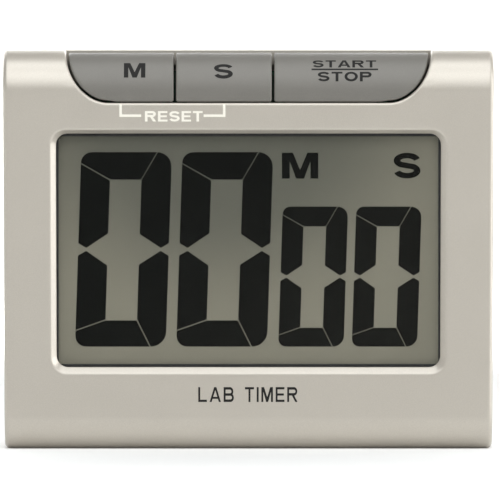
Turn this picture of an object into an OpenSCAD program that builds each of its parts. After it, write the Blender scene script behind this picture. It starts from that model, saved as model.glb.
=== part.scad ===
// Large-digit countdown timer, standing on its base.
// The face looks towards -Y, +Z is up and +X is to the reader's right.
// The origin is the centre of the base. Inside the modules, depth is counted
// from the face towards the back, and placed() moves it into the frame.

/* [Case] */
// Width across the case near the keys
case_w = 96; // [94:0.5:100]
// Height of the case
case_h = 78; // [77:0.5:80]
// Depth from the face to the back
case_d = 25; // [24.5:0.25:26]
// Depth of the front shell, up to the parting line
parting_d = 14; // [13.8:0.1:14.4]
// Wall thickness of both shells
wall = 2; // [1.8:0.1:2.2]
// Radius from the face over to the top
brow_r = 8.4; // [8:0.1:9]
// Radius from the face under to the base
toe_r = 6.4; // [5.5:0.1:7]
// Radius of the edges round the back
heel_r = 3.4; // [3.3:0.1:3.8]
// Radius of the corners seen from the front
corner_r = 1.6; // [1:0.1:2.2]
// How far each side leans in towards the base
side_draft = 0.36; // [0:0.02:0.6]

/* [Window] */
// Width of the window at the foot of its bevel
window_w = 75.3; // [73:0.1:76]
// Height of the window's lower edge above the base
window_low = 16; // [15.5:0.1:17]
// Height of the window's upper edge above the base
window_high = 61.6; // [60.5:0.1:61.8]
// Corner radius of the window
window_r = 2.2; // [1.5:0.1:3]
// Width of the bevel at the left and right
bevel_side = 1.2; // [0.8:0.05:1.4]
// Width of the bevel along the top
bevel_top = 0.8; // [0.6:0.05:1]
// Width of the bevel along the bottom
bevel_low = 1.27; // [0.8:0.05:1.4]
// Depth of the bevel
bevel_depth = 1.1; // [0.8:0.1:1.2]

/* [Keys] */
// Height of the lower edge of the key cut-out
keys_low = 67.6; // [67.4:0.1:67.8]
// Distance between the centres of the cut-out's round ends
keys_span = 50.9; // [49:0.1:52]
// Radius of the cut-out's round ends
keys_r = 10.8; // [10.4:0.1:11]
// Place of the split between the M and S keys
split_ms = -14.4; // [-15:0.1:-13.5]
// Place of the split between the S and START/STOP keys
split_st = 4.8; // [4:0.1:5.5]
// Gap round each key
key_gap = 0.45; // [0.35:0.05:0.5]
// How far the keys sit below the case surface
key_recess = 0.25; // [0.1:0.05:0.35]
// Thickness of a key's wall
key_wall = 1.5; // [1.2:0.1:1.6]

/* [Stand] */
// Width of the fold-out stand
stand_w = 35.6; // [30:0.2:36]
// Height of the stand's hinge above the base
stand_hinge_z = 47; // [46:0.5:47.5]
// Height of the stand's foot above the base when folded
stand_foot_z = 6.2; // [6:0.2:10]

/* [Hidden] */
$fn = 64;

// Display stack, front to back
lens_front = 1.3;
lens_back = 2.3;
polariser_front = 2.8;
front_glass_front = 3;
rear_glass_front = 4.1;
rear_glass_back = 5.2;
reflector_back = 5.4;
lens_margin = 1.4;
lens_low = window_low - lens_margin;
lens_high = window_high + lens_margin;
lens_half_w = window_w / 2 + lens_margin;
sight_margin = 0.55;

// Circuit board
board_front = 9;
board_back = 10.2;
board_half_w = 45;
board_low = 4.5;
board_high = 73.9;
board_posts = [[-43, 22], [43, 22], [-43, 56], [43, 56]];
board_screw_r = 0.8;

// Case screws
boss_places = [[-41.8, 8], [41.8, 8], [-41.8, 69], [41.8, 69]];
boss_r = 3;
screw_r = 1.1;
screw_head_r = 2.1;
screw_seat_d = 19;
screw_tip_d = 6;

// Key hinge and switches
hinge_d = 4;
hinge_z = keys_low - 1.6;
hinge_bar_r = 1.3;
trunnion_r = 0.8;
trunnion_play = 0.07;
ear_t = 1.2;
ear_r = 1.7;
ear_play = 0.2;
bar_inset = 2.2;
key_low_gap = 0.2;
key_back_d = parting_d - 1;
skirt_depth = 3.2;
skirt_t = 1.1;
M = [-keys_span / 2 - keys_r, split_ms - key_gap / 2, -keys_span / 2 + 0.45, split_ms - bar_inset];
S = [split_ms + key_gap / 2, split_st - key_gap / 2, split_ms + bar_inset, split_st - bar_inset];
T = [split_st + key_gap / 2, keys_span / 2 + keys_r, split_st + bar_inset, keys_span / 2 - 0.45];
switch_x = [-24, -4.8, 20.4];
switch_z = hinge_z + 4.8;
switch_front = 5.5;
switch_w = 6;
plunger_r = 1.6;
plunger_tip = 4.7;
plunger_play = 0.08;

// Battery bay, an AAA cell lying across the upper back
cell_r = 5.25;
cell_z = 60;
cell_d = 17.35;
cell_end = 24.8;
cell_l = 44.5;
nub_l = 1;
bay_half_w = 25.5;
bay_low = 54.2;
bay_high = 65.8;
bay_front = 12;
bay_wall = 1.2;
door_t = 1.8;
door_front = case_d - door_t;
door_low = bay_low - 0.8;
door_high = bay_high + 0.8;
door_half_w = bay_half_w + 0.7;
door_play = 0.2;
door_rest = 0.1;
door_hinge_d = case_d - door_t / 2;
door_hinge_z = door_low + door_t / 2;
door_pin_r = 0.5;
door_pin_play = 0.07;
door_pin_l = 1;
scoop_w = 14;
scoop_r = 2.4;

// Battery contacts and wires
contact_t = 0.4;
contact_half = 4.5;
contact_fit = 0.1;
tail_h = 3;
tail_d = bay_front + 1;
tail_out = 1.2;
spring_wire_r = 0.3;
spring_turns = 4;
spring_big_r = 3.8;
spring_small_r = 2;
spring_back = contact_t - bay_half_w + contact_fit + spring_wire_r / 2;
wire_r = 0.5;
wire_end_gap = 0.12;

// Parts on the circuit board
zebra_half_w = 35;
zebra_h = 1.9;
zebra_places = [window_low - 2.1, window_high - 0.9];
zebra_fit = 0.1;
blob_place = [8, 24];
blob_h = 1.5;
blob_r = 6;
crystal_x = 20;
crystal_z = 26;
crystal_l = 6;
crystal_r = 1.05;
crystal_lead_l = 2;
crystal_lead_r = 0.2;
capacitor_places = [[-10, 36], [-4, 36]];
capacitor_r = 2;
capacitor_h = 5.5;

// Stand, magnets and buzzer
stand_t = 2.2;
stand_back = case_d - 0.1;
stand_hinge_d = stand_back - stand_t / 2;
stand_pin_r = 0.9;
stand_pin_play = 0.07;
stand_play = 0.4;
well_floor = case_d - 2.8;
well_low = stand_foot_z - 0.5;
well_high = stand_hinge_z + 1.7;
magnet_places = [[-33, 17], [33, 17]];
magnet_r = 7;
magnet_t = 3;
buzzer_x = -33;
buzzer_z = 38;
buzzer_r = 10;
buzzer_t = 0.3;
crystal_disc_t = 0.2;
crystal_disc_r = 7;
sound_r = 0.75;
sound_ring = 3.6;

// Moves from depth counted off the face into the part's frame
module placed() {
    translate([0, -case_d / 2, 0]) children();
}

// Extrudes a (depth, height) profile across the width
module along_x(x0, x1) {
    translate([x0, 0, 0]) rotate([90, 0, 90]) linear_extrude(x1 - x0) children();
}

// Extrudes a (width, height) outline through the depth
module along_depth(d0, d1) {
    translate([0, d1, 0]) rotate([90, 0, 0]) linear_extrude(d1 - d0) children();
}

module block(x0, x1, d0, d1, z0, z1) {
    translate([x0, d0, z0]) cube([x1 - x0, d1 - d0, z1 - z0]);
}

// Round bar across the width
module bar_x(x0, x1, d, z, r) {
    translate([x0, d, z]) rotate([0, 90, 0]) cylinder(h = x1 - x0, r = r);
}

// Round bar through the depth
module bar_d(x, z, d0, d1, r) {
    translate([x, d1, z]) rotate([90, 0, 0]) cylinder(h = d1 - d0, r = r);
}

module rounded_rect(x0, x1, z0, z1, r) {
    for (x = [x0 + r, x1 - r], z = [z0 + r, z1 - r])
        translate([x, z]) circle(r);
    translate([x0 + r, z0]) square([x1 - x0 - 2 * r, z1 - z0]);
    translate([x0, z0 + r]) square([x1 - x0, z1 - z0 - 2 * r]);
}

// Side view of the case, shrunk by an inset
module case_side(inset) {
    top = case_h - inset;
    back = case_d - inset;
    corners = [
        [brow_r, case_h - brow_r, brow_r], [toe_r, toe_r, toe_r],
        [case_d - heel_r, heel_r, heel_r], [case_d - heel_r, case_h - heel_r, heel_r]
    ];
    for (c = corners)
        translate([c[0], c[1]]) circle(c[2] - inset);
    polygon([
        [inset, toe_r], [toe_r, inset], [case_d - heel_r, inset], [back, heel_r],
        [back, case_h - heel_r], [case_d - heel_r, top], [brow_r, top], [inset, case_h - brow_r]
    ]);
}

// Front view of the case: the sides lean in a little towards the base
module case_front() {
    high = case_w / 2;
    low = high - side_draft;
    r = corner_r;
    for (side = [-1, 1]) {
        translate([side * (high - r), case_h - r]) circle(r);
        translate([side * (low - r), r]) circle(r);
    }
    polygon([
        [-high + r, case_h], [high - r, case_h], [high, case_h - r], [low, r],
        [low - r, 0], [r - low, 0], [-low, r], [-high, case_h - r]
    ]);
}

// Plan view of the case: small radii at the face, larger ones at the back
module case_plan() {
    half = case_w / 2;
    face_r = 0.8;
    for (side = [-1, 1]) {
        translate([side * (half - face_r), face_r]) circle(face_r);
        translate([side * (half - heel_r), case_d - heel_r]) circle(heel_r);
    }
    polygon([
        [face_r - half, 0], [half - face_r, 0], [half, face_r], [half, case_d - heel_r],
        [half - heel_r, case_d], [heel_r - half, case_d], [-half, case_d - heel_r],
        [-half, face_r]
    ]);
}

module case_body(d0, d1) {
    intersection() {
        along_x(-case_w, case_w) case_side(0);
        along_depth(d0, d1) case_front();
        linear_extrude(case_h + 1) case_plan();
    }
}

module case_hollow(d0, d1, inset) {
    half = case_w / 2 - side_draft - inset;
    intersection() {
        along_x(-half, half) case_side(inset);
        block(-half, half, d0, d1, 0, case_h);
    }
}

// Outline of the key cut-out seen from the front
module key_field(inset) {
    for (side = [-1, 1])
        translate([side * keys_span / 2, keys_low + keys_r]) circle(keys_r - inset);
    translate([-keys_span / 2, keys_low + inset]) square([keys_span, keys_r + 3]);
}

// Everything below the curved brow, in side view
module under_brow(inset) {
    translate([brow_r, case_h - brow_r]) circle(brow_r - inset);
    translate([inset, 0]) square([case_d, case_h - brow_r]);
    translate([brow_r, 0]) square([case_d, case_h - inset]);
}

// Wedge that cuts the window's bevel, from the face down to the window's edge
module window_bevel() {
    half = window_w / 2;
    slice = 0.01;
    outer_r = window_r + 0.9;
    hull() {
        along_depth(-slice, 0)
            rounded_rect(-half - bevel_side, half + bevel_side, window_low - bevel_low,
                window_high + bevel_top, outer_r);
        along_depth(bevel_depth, bevel_depth + slice)
            rounded_rect(-half, half, window_low, window_high, window_r);
    }
}

module key_ears() {
    for (key = [M, S, T])
        for (x = [key[2] - ear_play - ear_t, key[3] + ear_play])
            difference() {
                union() {
                    bar_x(x, x + ear_t, hinge_d, hinge_z, ear_r);
                    block(x, x + ear_t, wall, hinge_d, hinge_z - ear_r, hinge_z + ear_r);
                }
                bar_x(x - 1, x + ear_t + 1, hinge_d, hinge_z, trunnion_r + trunnion_play);
            }
}

module front_case() {
    half = window_w / 2;
    fit = 0.1;
    color("silver") placed() {
        difference() {
            union() {
                difference() {
                    case_body(0, parting_d);
                    case_hollow(0, parting_d + 1, wall);
                }
                for (p = boss_places)
                    bar_d(p[0], p[1], wall - 0.1, parting_d, boss_r);
                for (p = board_posts)
                    bar_d(p[0], p[1], wall - 0.1, board_front, 2.2);
            }
            for (p = boss_places)
                bar_d(p[0], p[1], screw_tip_d - 0.5, parting_d + 1, screw_r);
            for (p = board_posts)
                bar_d(p[0], p[1], board_front - 4.5, board_front + 1, board_screw_r);
            window_bevel();
            along_depth(-1, wall + 1)
                rounded_rect(-half, half, window_low, window_high, window_r);
            block(-lens_half_w - fit, lens_half_w + fit, lens_front, wall + 1, lens_low - fit,
                lens_high + fit);
            along_depth(-1, parting_d + 1) key_field(0);
        }
        key_ears();
    }
}

// Bay for the cell, standing in from the back wall
module battery_bay_walls() {
    block(-bay_half_w - bay_wall, bay_half_w + bay_wall, bay_front - 1, case_d - wall,
        bay_low - bay_wall, bay_high + bay_wall);
}

module battery_bay_hollow() {
    pin_half = door_half_w + door_pin_l + door_play;
    block(-bay_half_w, bay_half_w, bay_front, case_d + 1, bay_low, bay_high);
    block(-door_half_w - door_play, door_half_w + door_play, door_front - door_rest, case_d + 1,
        door_low - door_play, door_high + door_play);
    bar_x(-pin_half, pin_half, door_hinge_d, door_hinge_z, door_pin_r + door_pin_play);
    for (x = [-bay_half_w - bay_wall - 1, bay_half_w - 1])
        block(x, x + bay_wall + 2, tail_d, tail_d + contact_t, cell_z - tail_h / 2,
            cell_z + tail_h / 2);
    thumb_scoop();
}

// Round hollow across the door's upper edge, shared by the door and the case
module thumb_scoop() {
    bar_x(-scoop_w / 2, scoop_w / 2, case_d + 1.4, door_high + 0.6, scoop_r);
}

module stand_well_walls() {
    half = stand_w / 2 + stand_play;
    lug = 3;
    block(-half - 1.4, half + 1.4, well_floor - 1.4, case_d - wall, well_low - 1.4, well_high + 1.4);
    block(-half - lug, half + lug, well_floor - 1.4, case_d - wall, stand_hinge_z - 2.4, well_high + 1.4);
}

module stand_well_hollow() {
    half = stand_w / 2 + stand_play;
    block(-half, half, well_floor, case_d + 1, well_low, well_high);
    bar_x(-half - 2.2, half + 2.2, stand_hinge_d, stand_hinge_z, stand_pin_r + stand_pin_play);
    // finger scoop under the stand's foot
    translate([0, case_d + 1.6, well_low]) rotate([0, 90, 0])
        cylinder(h = 15, r = 4, center = true);
}

module back_case() {
    lip = 1;
    lip_fit = 0.15;
    color("gainsboro") placed() difference() {
        union() {
            difference() {
                case_body(parting_d, case_d);
                case_hollow(parting_d - 1, case_d - wall, wall);
            }
            // tongue that locates the shells, left out under the keys
            difference() {
                case_hollow(parting_d - 1.2, parting_d + 1, wall + lip_fit);
                case_hollow(parting_d - 2, parting_d + 2, wall + lip);
                block(-keys_span / 2 - keys_r - 1, keys_span / 2 + keys_r + 1, 0, case_d,
                    case_h / 2, case_h);
                for (p = boss_places)
                    bar_d(p[0], p[1], 0, parting_d, boss_r + 0.3);
            }
            // rim that joins the tongue to the shell's wall
            difference() {
                case_hollow(parting_d, parting_d + 1.5, wall - 0.1);
                case_hollow(0, case_d, wall + lip);
            }
            for (p = boss_places)
                bar_d(p[0], p[1], parting_d, case_d - wall + 0.1, boss_r);
            battery_bay_walls();
            stand_well_walls();
            for (p = magnet_places)
                bar_d(p[0], p[1], case_d - magnet_t - 1.4, case_d - wall, magnet_r + 1.4);
            difference() {
                bar_d(buzzer_x, buzzer_z, case_d - wall - 1.8, case_d - wall, buzzer_r + 1.2);
                bar_d(buzzer_x, buzzer_z, case_d - wall - 2, case_d - wall - 1, buzzer_r + 0.1);
                bar_d(buzzer_x, buzzer_z, case_d - wall - 3, case_d - wall, buzzer_r - 1.4);
            }
        }
        battery_bay_hollow();
        stand_well_hollow();
        for (p = magnet_places)
            bar_d(p[0], p[1], case_d - magnet_t, case_d + 1, magnet_r);
        for (p = boss_places) {
            bar_d(p[0], p[1], parting_d - 1, case_d, screw_r + 0.25);
            bar_d(p[0], p[1], screw_seat_d, case_d + 1, screw_head_r + 0.3);
        }
        bar_d(buzzer_x, buzzer_z, case_d - wall - 1, case_d + 1, sound_r);
        for (a = [0 : 60 : 300])
            bar_d(buzzer_x + sound_ring * cos(a), buzzer_z + sound_ring * sin(a),
                case_d - wall - 1, case_d + 1, sound_r);
    }
}

module window_lens() {
    color("white", 0.35) placed()
        block(-lens_half_w, lens_half_w, lens_front, lens_back, lens_low, lens_high);
}

module lcd_gasket() {
    half = window_w / 2 - sight_margin;
    color("black") placed() difference() {
        block(-lens_half_w, lens_half_w, lens_back, polariser_front, lens_low, lens_high);
        block(-half, half, lens_back - 1, polariser_front + 1, window_low + sight_margin,
            window_high - sight_margin);
    }
}

module front_polariser() {
    half = window_w / 2 + 0.7;
    color("darkolivegreen") placed()
        block(-half, half, polariser_front, front_glass_front, window_low - 0.6, window_high + 0.6);
}

module front_glass() {
    half = window_w / 2 + 1.3;
    color("darkseagreen") placed()
        block(-half, half, front_glass_front, rear_glass_front, window_low - 2.3, window_high + 1.5);
}

module rear_glass() {
    half = window_w / 2 + 1.3;
    color("darkseagreen") placed()
        block(-half, half, rear_glass_front, rear_glass_back, window_low + 0.4, window_high - 1.3);
}

module lcd_reflector() {
    half = window_w / 2 + 0.7;
    color("lightgrey") placed()
        block(-half, half, rear_glass_back, reflector_back, window_low + 0.8, window_high - 1.7);
}

module lcd_holder() {
    in_half = window_w / 2 + 1.5;
    low = window_low - 2.5;
    high = window_high + 1.7;
    side_wall = 0.9;
    color("whitesmoke") placed() difference() {
        block(-in_half - side_wall, in_half + side_wall, front_glass_front, board_front,
            low - side_wall, high + side_wall);
        block(-in_half, in_half, front_glass_front - 1, reflector_back, low, high);
        block(-in_half + 4, in_half - 4, 0, board_front + 1, low + 7, high - 7);
        for (z = zebra_places)
            block(-zebra_half_w - zebra_fit, zebra_half_w + zebra_fit, 0, board_front + 1,
                z - zebra_fit, z + zebra_h + zebra_fit);
    }
}

module zebra_strips() {
    color("hotpink") placed()
        for (z = zebra_places)
            block(-zebra_half_w, zebra_half_w, rear_glass_front, board_front, z, z + zebra_h);
}

module circuit_board() {
    color("darkgreen") placed() difference() {
        block(-board_half_w, board_half_w, board_front, board_back, board_low, board_high);
        for (p = boss_places) {
            away = p[0] > 0 ? 1 : -1;
            block(min(p[0] - 4 * away, 50 * away), max(p[0] - 4 * away, 50 * away), 0, case_d,
                p[1] < 30 ? 0 : p[1] - 4, p[1] < 30 ? p[1] + 4 : case_h);
        }
        for (p = board_posts)
            bar_d(p[0], p[1], 0, case_d, board_screw_r + 0.1);
    }
}

// Dome of resin over the chip
module chip_blob() {
    dome_r = (blob_r * blob_r + blob_h * blob_h) / (2 * blob_h);
    color([0.08, 0.08, 0.08]) placed()
        translate([blob_place[0], board_back, blob_place[1]]) rotate([-90, 0, 0])
            rotate_extrude() intersection() {
                translate([0, blob_h - dome_r]) circle(dome_r, $fn = 200);
                square([blob_r, blob_h]);
            }
}

module crystal() {
    axis_d = board_back + crystal_r;
    color("gainsboro") placed() {
        bar_x(crystal_x, crystal_x + crystal_l, axis_d, crystal_z, crystal_r);
        for (z = [crystal_z - crystal_r / 2, crystal_z + crystal_r / 2])
            bar_x(crystal_x - crystal_lead_l, crystal_x, axis_d, z, crystal_lead_r);
    }
}

module capacitors() {
    color("midnightblue") placed()
        for (p = capacitor_places)
            bar_d(p[0], p[1], board_back, board_back + capacitor_h, capacitor_r);
}

module tact_switch(x) {
    half = switch_w / 2;
    color([0.15, 0.15, 0.15]) placed() difference() {
        block(x - half, x + half, switch_front, board_front, switch_z - half, switch_z + half);
        bar_d(x, switch_z, switch_front - 1, switch_front + 1.2, plunger_r + plunger_play);
    }
}

module plunger(x) {
    color("saddlebrown") placed()
        bar_d(x, switch_z, plunger_tip, switch_front + 0.8, plunger_r);
}

// A key: a curved shell with skirts round its edge, a hinge bar behind the
// case wall, and a rib that meets the switch plunger
module key(place, plunger_x) {
    rib_half = 2.2;
    color("dimgray") placed() {
        difference() {
            intersection() {
                along_depth(0, key_back_d) key_field(key_gap);
                along_x(place[0], place[1]) under_brow(key_recess);
                block(-case_w, case_w, 0, key_back_d, keys_low + key_low_gap, case_h);
            }
            intersection() {
                along_depth(-1, key_back_d - skirt_t) key_field(key_gap + skirt_t);
                along_x(place[0] + skirt_t, place[1] - skirt_t) under_brow(key_recess + key_wall);
            }
            along_x(-case_w, case_w) under_brow(key_recess + skirt_depth);
            block(-case_w, case_w, key_recess + key_wall, case_d, 0, keys_low + key_wall);
        }
        // arm from the key's wall down behind the case to the hinge bar
        block(place[2], place[3], 1, hinge_d - 0.5, keys_low + 0.6, keys_low + 2);
        block(place[2], place[3], wall + 0.3, hinge_d - 0.5, hinge_z, keys_low + 2);
        bar_x(place[2], place[3], hinge_d, hinge_z, hinge_bar_r);
        bar_x(place[2] - ear_play - ear_t + 0.2, place[3] + ear_play + ear_t - 0.2, hinge_d,
            hinge_z, trunnion_r);
        block(plunger_x - rib_half, plunger_x + rib_half, 1.5, plunger_tip - 0.05,
            switch_z - 0.6, switch_z + 0.6);
    }
}

module buzzer() {
    seat = case_d - wall - 1;
    color("goldenrod") placed() {
        bar_d(buzzer_x, buzzer_z, seat - buzzer_t, seat, buzzer_r);
        bar_d(buzzer_x, buzzer_z, seat - buzzer_t - crystal_disc_t, seat - buzzer_t,
            crystal_disc_r);
    }
}

module battery() {
    color("slategray") placed() {
        bar_x(cell_end - cell_l, cell_end - nub_l, cell_d, cell_z, cell_r);
        bar_x(cell_end - nub_l - 0.01, cell_end, cell_d, cell_z, 1.9);
    }
}

// Points round a wire of radius r that follows a path in the (x, depth, z) frame
function unit(v) = v / norm(v);
function tangent(p, i) =
    i == 0 ? unit(p[1] - p[0]) : i == len(p) - 1 ? unit(p[i] - p[i - 1]) : unit(p[i + 1] - p[i - 1]);
function across(t, guide) = unit(cross(t, guide));
function ring(c, t, guide, r, sides) = [
    for (k = [0 : sides - 1])
        let (u = across(t, guide), w = cross(t, u), a = 360 * k / sides)
            c + r * cos(a) * u + r * sin(a) * w
];
module sweep(path, r, guide, sides = 8) {
    n = len(path);
    points = [for (i = [0 : n - 1]) each ring(path[i], tangent(path, i), guide, r, sides)];
    walls = [
        for (i = [0 : n - 2], k = [0 : sides - 1])
            let (a = i * sides + k, b = i * sides + (k + 1) % sides)
                each [[a, b + sides, b], [a, a + sides, b + sides]]
    ];
    caps = [[for (k = [0 : sides - 1]) k], [for (k = [sides - 1 : -1 : 0]) (n - 1) * sides + k]];
    polyhedron(points = points, faces = concat(walls, caps));
}

// Bezier curve through four control points, as a list of points
function bezier(p, steps) = [
    for (i = [0 : steps])
        let (t = i / steps, s = 1 - t)
            s * s * s * p[0] + 3 * s * s * t * p[1] + 3 * s * t * t * p[2] + t * t * t * p[3]
];

// Point on the spring's tapering coil after a turn of a degrees
function spring_turn(a, length) =
    let (
        f = a / (360 * spring_turns),
        r = spring_big_r + (spring_small_r - spring_big_r) * f
    )
        [spring_back + length * f, cell_d + r * cos(a), cell_z + r * sin(a)];

module contact_spring() {
    length = cell_end - cell_l - spring_back - spring_wire_r - 0.02;
    color("lightsteelblue") placed() {
        contact(-1);
        sweep([for (a = [0 : 24 : 360 * spring_turns]) spring_turn(a, length)],
            spring_wire_r, [1, 0, 0]);
    }
}

// Contact plate at one end of the bay, with a solder tail through the end wall
module contact(side) {
    outer = bay_half_w - contact_fit;
    inner = outer - contact_t;
    tail_end = bay_half_w + bay_wall + tail_out;
    block(min(side * inner, side * outer), max(side * inner, side * outer),
        cell_d - contact_half, cell_d + contact_half, cell_z - contact_half,
        cell_z + contact_half);
    block(min(side * inner, side * tail_end), max(side * inner, side * tail_end), tail_d,
        tail_d + contact_t, cell_z - tail_h / 2, cell_z + tail_h / 2);
}

module contact_plate() {
    color("lightsteelblue") placed() contact(1);
}

// Wire from a contact's tail down to the circuit board
module contact_wire(side) {
    end = bay_half_w + bay_wall + tail_out;
    start_d = tail_d + contact_t / 2;
    land_z = cell_z - 14;
    sweep(bezier([
        [side * (end + 0.02), start_d, cell_z], [side * (end + 6), start_d, cell_z],
        [side * (end + 3), board_back + 5, land_z],
        [side * (end + 3), board_back + wire_end_gap, land_z]
    ], 14), wire_r, [0, 0.3, 1]);
}

module wire_red() {
    color("red") placed() contact_wire(1);
}

module wire_black() {
    color([0.1, 0.1, 0.1]) placed() contact_wire(-1);
}

module buzzer_wires() {
    seat = case_d - wall - 1.52;
    color("crimson") placed()
        for (dx = [-2, 2])
            sweep(bezier([
                [buzzer_x + dx, seat, buzzer_z - 2], [buzzer_x + dx, seat - 4, buzzer_z - 2],
                [buzzer_x + dx, board_back + 5, buzzer_z - 8],
                [buzzer_x + dx, board_back + wire_end_gap, buzzer_z - 8]
            ], 12), wire_r * 0.7, [1, 0, 0]);
}

// Battery door: it swings on pins at the ends of its round lower edge
module battery_door() {
    pin_half = door_half_w + door_pin_l;
    color("gainsboro") placed() {
        difference() {
            block(-door_half_w, door_half_w, door_front, case_d, door_hinge_z, door_high);
            thumb_scoop();
        }
        bar_x(-door_half_w, door_half_w, door_hinge_d, door_hinge_z, door_t / 2);
        bar_x(-pin_half, pin_half, door_hinge_d, door_hinge_z, door_pin_r);
    }
}

module stand() {
    half = stand_w / 2;
    foot_r = 3;
    color("silver") placed() {
        difference() {
            along_depth(stand_hinge_d - stand_t / 2, stand_hinge_d + stand_t / 2) {
                rounded_rect(-half, half, stand_foot_z, stand_hinge_z - 4, foot_r);
                translate([-half, stand_foot_z + foot_r])
                    square([stand_w, stand_hinge_z - stand_foot_z - foot_r]);
            }
            // shallow panel let into the outer face
            along_depth(stand_back - 0.5, stand_back + 1)
                rounded_rect(4 - half, half - 4, stand_foot_z + 7, stand_hinge_z - 6, 2);
        }
        bar_x(-half, half, stand_hinge_d, stand_hinge_z, stand_t / 2);
        bar_x(-half - 2, half + 2, stand_hinge_d, stand_hinge_z, stand_pin_r);
    }
}

module magnets() {
    color("dimgray") placed()
        for (p = magnet_places)
            bar_d(p[0], p[1], case_d - magnet_t, case_d, magnet_r);
}

module case_screws() {
    head_h = 1.6;
    color("lightgrey") placed()
        for (p = boss_places)
            difference() {
                union() {
                    bar_d(p[0], p[1], screw_tip_d, screw_seat_d + 0.01, screw_r);
                    bar_d(p[0], p[1], screw_seat_d, screw_seat_d + head_h, screw_head_r);
                }
                cross_slot(p[0], p[1], screw_seat_d + head_h, 2.6);
            }
}

// Cross recess in a screw head
module cross_slot(x, z, top, span) {
    t = 0.5;
    block(x - span / 2, x + span / 2, top - 0.8, top + 1, z - t / 2, z + t / 2);
    block(x - t / 2, x + t / 2, top - 0.8, top + 1, z - span / 2, z + span / 2);
}

module board_screws() {
    color("lightgrey") placed()
        for (p = board_posts)
            difference() {
                union() {
                    bar_d(p[0], p[1], board_front - 4, board_back + 0.01, board_screw_r);
                    bar_d(p[0], p[1], board_back, board_back + 1.2, 1.6);
                }
                cross_slot(p[0], p[1], board_back + 1.2, 2);
            }
}

front_case();
back_case();
window_lens();
lcd_gasket();
front_polariser();
front_glass();
rear_glass();
lcd_reflector();
lcd_holder();
zebra_strips();
circuit_board();
chip_blob();
crystal();
capacitors();
tact_switch(switch_x[0]);  // switch_m
tact_switch(switch_x[1]);  // switch_s
tact_switch(switch_x[2]);  // switch_start_stop
plunger(switch_x[0]);  // plunger_m
plunger(switch_x[1]);  // plunger_s
plunger(switch_x[2]);  // plunger_start_stop
key(M, switch_x[0]);  // key_m
key(S, switch_x[1]);  // key_s
key(T, switch_x[2]);  // key_start_stop
buzzer();
battery();
contact_spring();
contact_plate();
wire_red();
wire_black();
buzzer_wires();
battery_door();
stand();
magnets();
case_screws();
board_screws();
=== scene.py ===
import math

import bmesh
import bpy
import numpy as np
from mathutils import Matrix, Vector
from mathutils.geometry import delaunay_2d_cdt


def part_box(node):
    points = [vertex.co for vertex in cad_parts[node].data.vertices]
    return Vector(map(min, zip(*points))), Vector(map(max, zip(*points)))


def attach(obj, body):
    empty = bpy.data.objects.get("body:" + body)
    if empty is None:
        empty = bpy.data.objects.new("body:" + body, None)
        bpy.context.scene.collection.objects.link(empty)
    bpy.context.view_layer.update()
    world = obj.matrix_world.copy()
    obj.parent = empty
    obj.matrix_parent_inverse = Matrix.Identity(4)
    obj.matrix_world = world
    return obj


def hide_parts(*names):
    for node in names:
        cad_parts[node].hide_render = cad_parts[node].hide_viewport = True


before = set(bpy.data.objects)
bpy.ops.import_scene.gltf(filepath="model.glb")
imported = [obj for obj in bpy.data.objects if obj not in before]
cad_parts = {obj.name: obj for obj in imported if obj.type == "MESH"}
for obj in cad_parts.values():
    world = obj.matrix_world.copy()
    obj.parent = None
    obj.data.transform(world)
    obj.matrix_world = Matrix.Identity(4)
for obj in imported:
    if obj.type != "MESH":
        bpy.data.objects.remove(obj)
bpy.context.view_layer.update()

# ---------------------------------------------------------------- sizes, in millimetres
MM = 0.001


def node_box(node):
    """Lowest and highest corner of a CAD node, in millimetres."""
    low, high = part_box(node)
    return np.array(low) / MM, np.array(high) / MM


# the case: depths are measured back from its face, heights up from its base
case_low, case_high = node_box("front_case")
FACE_Y = case_low[1]
HEIGHT = case_high[2]
HALF_W = case_high[0]
PARTING = case_high[1] - FACE_Y  # depth of the line where the two shells meet
SEAM = 0.07  # gap left there
BROW_R = 8.4
BROW_S = HEIGHT - BROW_R
BROW_END = BROW_S + BROW_R * math.pi / 2
TOE_R = 6.4
TOE_END = TOE_R * (1 - math.pi / 2)
EDGE_R = 1.0  # rounding of the long upright edges
SIDE_DRAFT = 0.36  # how much each side leans in from top to base
WALL = 2.0
WALL_FOLD = 3.0  # width at each side over which the inner surface draws in

# the window and its bevel
lens_low, lens_high = node_box("window_lens")
LENS_MARGIN = 1.4  # how far the pane reaches past the window's edge
LENS_FRONT = lens_low[1] - FACE_Y
LENS_SEAT = 1.5  # width of the ledge it sits against
WINDOW_HALF = lens_high[0] - LENS_MARGIN
WINDOW_LOW = lens_low[2] + LENS_MARGIN
WINDOW_HIGH = lens_high[2] - LENS_MARGIN
WINDOW_R = 2.2
BEVEL_R = WINDOW_R + 0.9  # of the bevel's outer corners
BEVEL_SIDE = 1.2
BEVEL_TOP = 0.8
BEVEL_LOW = 1.27
BEVEL_DEPTH = 1.1
BEVEL_RIM = 0.2  # share of the bevel's slope taken up by its rounded rim
BEVEL_FOOT = 0.6  # the rounded foot, as a share of the rim's
SILL_EASE = 0.12  # how far that rounding runs on behind the bevel
DISPLAY_Y = node_box("front_polariser")[0][1]

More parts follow.
